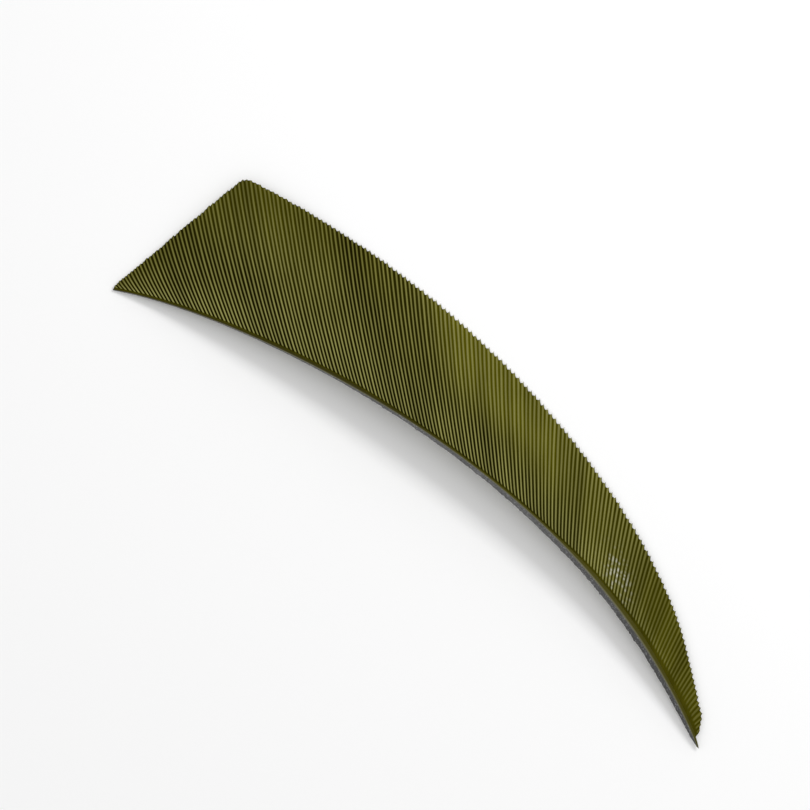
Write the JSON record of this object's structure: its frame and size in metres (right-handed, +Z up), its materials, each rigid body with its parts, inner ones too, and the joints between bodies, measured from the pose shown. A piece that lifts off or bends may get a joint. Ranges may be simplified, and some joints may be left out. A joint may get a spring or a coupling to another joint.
{
  "type": "split goose quill feather",
  "caption": "Split quill feather, one vane of ribbed barbs on a ground half quill, bent like a sabre and lying rough side up, for fletching or trimming.",
  "frame": {"origin": "under the middle of the feather's bounding box, on the surface it lies on", "axes": "+X along the quill from its distal tip to its proximal tip, +Y from the quill towards the vane's free edge, +Z up"},
  "size_m": [0.2104, 0.0556, 0.0108],
  "materials": {
    "quill": "smooth dyed horn with a pale rough ground face",
    "vane": "olive dyed barbs with a soft satin sheen"
  },
  "bodies": {
    "root": {"quill": "quill", "vane": "vane"}
  },
  "joints": []
}
